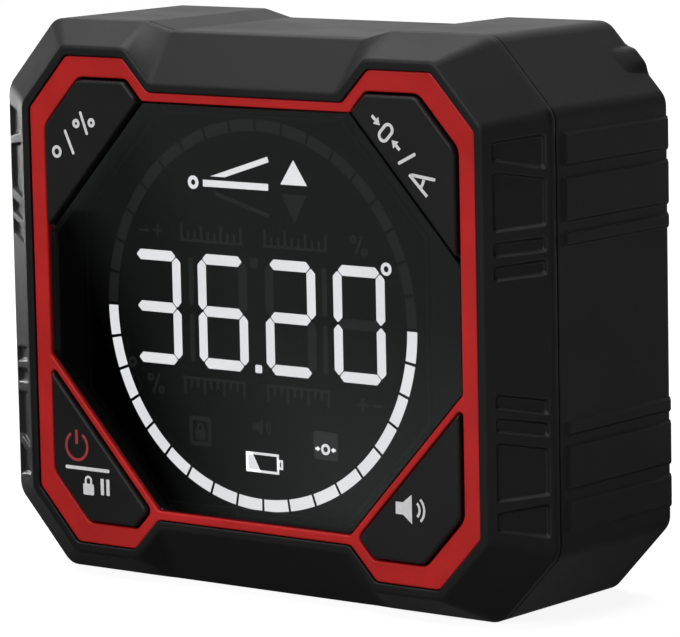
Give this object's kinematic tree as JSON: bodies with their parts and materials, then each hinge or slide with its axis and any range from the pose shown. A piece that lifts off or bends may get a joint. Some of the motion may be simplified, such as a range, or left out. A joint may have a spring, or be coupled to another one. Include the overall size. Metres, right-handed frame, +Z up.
{
  "type": "digital inclinometer",
  "caption": "Hand-held digital level box with cut corners that shows its tilt on a round-scaled display, with corner keys, a battery cover and a magnetic base.",
  "frame": {"origin": "under the middle of the box, on its base", "axes": "+Z up, display faces -Y, +X to the right when the display faces the reader"},
  "size_m": [0.0816, 0.0284, 0.067],
  "materials": {
    "casing": "fine satin-black soft-touch moulded plastic",
    "trim": "red satin-gloss moulded plastic",
    "window": "smoked polished acrylic",
    "key": "fine satin-black moulded plastic with printed symbols",
    "seal": "black foam rubber",
    "display": "display glass, clear segments on a dark ground",
    "light_guide": "clear-white light guide",
    "holder": "white moulded plastic",
    "board": "green solder mask",
    "chip": "black moulding compound",
    "ceramic_part": "fired ceramic with tinned ends",
    "switch": "black switch body",
    "plunger": "ivory plastic",
    "steel": "zinc-plated steel",
    "contact": "nickel-plated spring brass",
    "magnet": "nickel-plated magnet",
    "cell": "plain dark printed sleeve over the can"
  },
  "bodies": {
    "casing": {"front_shell": "casing", "rear_shell": "casing", "trim_frame": "trim", "display_window": "window", "window_tape": "seal", "lcd_foam": "seal", "shell_gasket": "seal", "contact_strip_left": "seal", "contact_strip_right": "seal", "lcd_glass": "display", "backlight_panel": "light_guide", "backlight_leds": "holder", "lcd_holder": "holder", "main_board": "board", "microcontroller": "chip", "tilt_sensor": "chip", "memory_chip": "chip", "regulator": "chip", "buzzer": "chip", "storage_inductor": "chip", "crystal": "steel", "chip_capacitors": "ceramic_part", "chip_resistors": "ceramic_part", "battery_upper": "cell", "battery_lower": "cell", "contact_bridge": "contact", "contact_positive": "contact", "contact_negative": "contact", "board_screws": "steel", "shell_screws": "steel", "base_magnets": "magnet", "unit_switch": "switch", "reference_switch": "switch", "power_switch": "switch", "sound_switch": "switch"},
    "unit_button": {"unit_key": "key", "unit_plunger": "plunger"},
    "reference_button": {"reference_key": "key", "reference_plunger": "plunger"},
    "power_button": {"power_key": "key", "power_plunger": "plunger"},
    "sound_button": {"sound_key": "key", "sound_plunger": "plunger"},
    "cover": {"battery_cover": "casing", "cover_screws": "steel", "cover_foam": "seal"}
  },
  "joints": [
    {"name": "unit_press", "type": "slide", "parent": "casing", "child": "unit_button", "axis": [0, 1, 0], "range_m": [0, 0.00035], "stiffness_N_per_m": 3000},
    {"name": "reference_press", "type": "slide", "parent": "casing", "child": "reference_button", "axis": [0, 1, 0], "range_m": [0, 0.00035], "stiffness_N_per_m": 3000},
    {"name": "power_press", "type": "slide", "parent": "casing", "child": "power_button", "axis": [0, 1, 0], "range_m": [0, 0.00035], "stiffness_N_per_m": 3000},
    {"name": "sound_press", "type": "slide", "parent": "casing", "child": "sound_button", "axis": [0, 1, 0], "range_m": [0, 0.00035], "stiffness_N_per_m": 3000},
    {"name": "cover_lift", "type": "slide", "parent": "casing", "child": "cover", "axis": [0, 1, 0], "range_m": [0, 0.012]}
  ]
}
